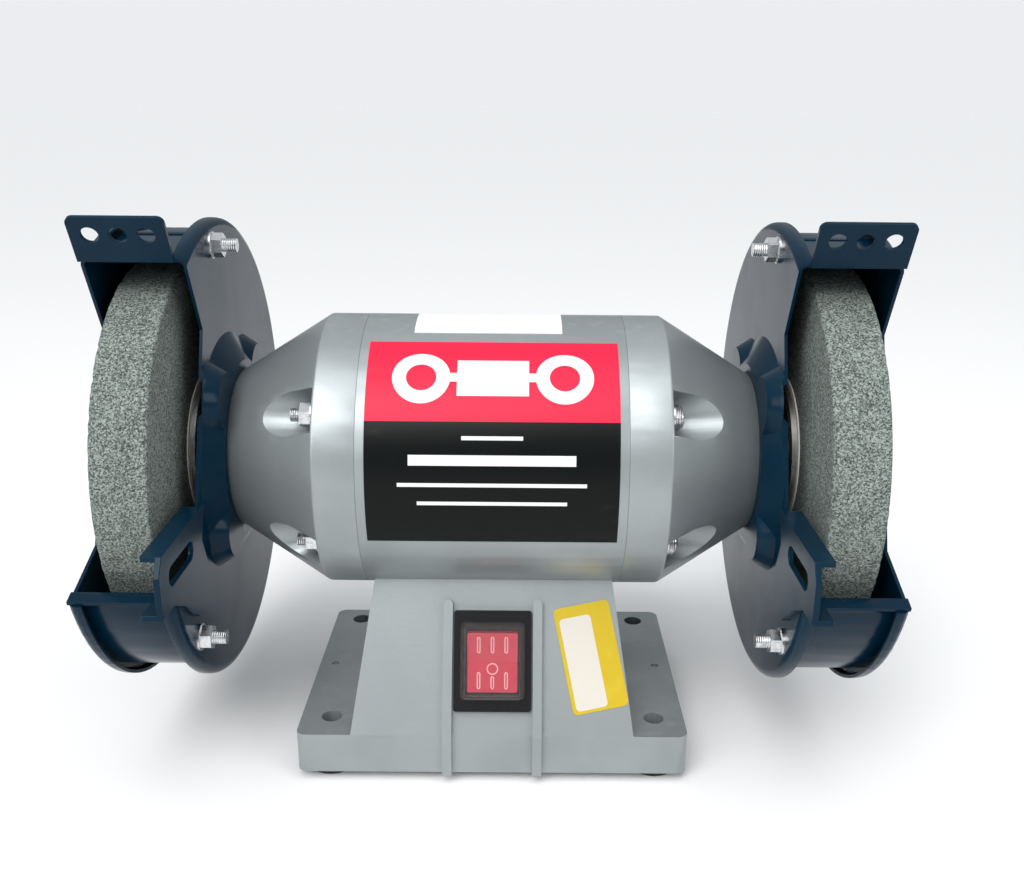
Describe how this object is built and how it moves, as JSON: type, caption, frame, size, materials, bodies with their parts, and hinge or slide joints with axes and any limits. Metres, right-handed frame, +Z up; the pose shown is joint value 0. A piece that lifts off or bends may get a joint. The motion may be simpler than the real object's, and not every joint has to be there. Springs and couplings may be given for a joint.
{
  "type": "bench grinder",
  "caption": "Bench grinder with a cast pedestal, a rocker switch and a guarded grinding wheel at each end of a through-shaft motor.",
  "frame": {"origin": "centre of the four bench bolt holes, on the bench", "axes": "+X along the shaft to the right wheel, -Y to the front where the work is held, +Z up"},
  "size_m": [0.3156, 0.1935, 0.2162],
  "materials": {
    "paint": "satin",
    "shell_paint": "satin",
    "guard_paint": "gloss",
    "zinc": "satin",
    "bearing_steel": "polished",
    "turned_steel": "satin",
    "electrical_steel": "matte",
    "copper": "satin",
    "cage_aluminium": "satin",
    "rubber": "matte",
    "capacitor_case": "satin",
    "terminal_plastic": "matte",
    "terminal_brass": "satin",
    "switch_black": "satin",
    "boot_clear": "gloss",
    "rocker_red": "gloss",
    "label_print": "gloss",
    "tag_paper": "matte",
    "sticker_paper": "satin",
    "blotter_paper": "matte",
    "abrasive": "matte"
  },
  "bodies": {
    "housing": {"base_casting": "paint", "base_plate": "zinc", "base_plate_screws": "zinc", "rubber_feet": "rubber", "pedestal_screws": "zinc", "cable_gland": "rubber", "stator_shell": "shell_paint", "end_bell_left": "paint", "end_bell_right": "paint", "tie_bolts": "zinc", "tie_bolt_nuts": "zinc", "tie_bolt_washers": "zinc", "stator_core": "electrical_steel", "stator_winding": "copper", "bearing_outer_left": "bearing_steel", "bearing_outer_right": "bearing_steel", "wave_washer": "bearing_steel", "capacitor": "capacitor_case", "capacitor_clip": "zinc", "terminal_block": "terminal_plastic", "terminal_screws": "terminal_brass", "switch_body": "switch_black", "switch_boot": "boot_clear", "front_label": "label_print", "price_tag": "tag_paper", "shop_sticker": "sticker_paper", "guard_plate_left": "guard_paint", "guard_plate_right": "guard_paint", "guard_band_left": "guard_paint", "guard_band_right": "guard_paint", "guard_cover_left": "guard_paint", "guard_cover_right": "guard_paint", "rest_bracket_left": "guard_paint", "rest_bracket_right": "guard_paint", "plate_screws": "zinc", "cover_screws": "zinc", "cover_nuts": "zinc", "cover_washers": "zinc"},
    "rotor": {"shaft": "turned_steel", "rotor_core": "electrical_steel", "rotor_cage": "cage_aluminium", "bearing_inner_left": "bearing_steel", "bearing_inner_right": "bearing_steel", "bearing_balls_left": "bearing_steel", "bearing_balls_right": "bearing_steel", "inner_flange_left": "turned_steel", "inner_flange_right": "turned_steel", "outer_flange_left": "turned_steel", "outer_flange_right": "turned_steel", "wheel_blotters": "blotter_paper", "grinding_wheel_left": "abrasive", "grinding_wheel_right": "abrasive", "shaft_nut_left": "zinc", "shaft_nut_right": "zinc"},
    "rocker": {"switch_rocker": "rocker_red"}
  },
  "joints": [
    {"name": "shaft_spin", "type": "hinge", "parent": "housing", "child": "rotor", "pos_m": [0, -0.002, 0.12], "axis": [1, 0, 0], "continuous": true},
    {"name": "switch_rock", "type": "hinge", "parent": "housing", "child": "rocker", "pos_m": [0, -0.0445, 0.0467], "axis": [-1, 0, 0], "range_deg": [0, 16]}
  ]
}
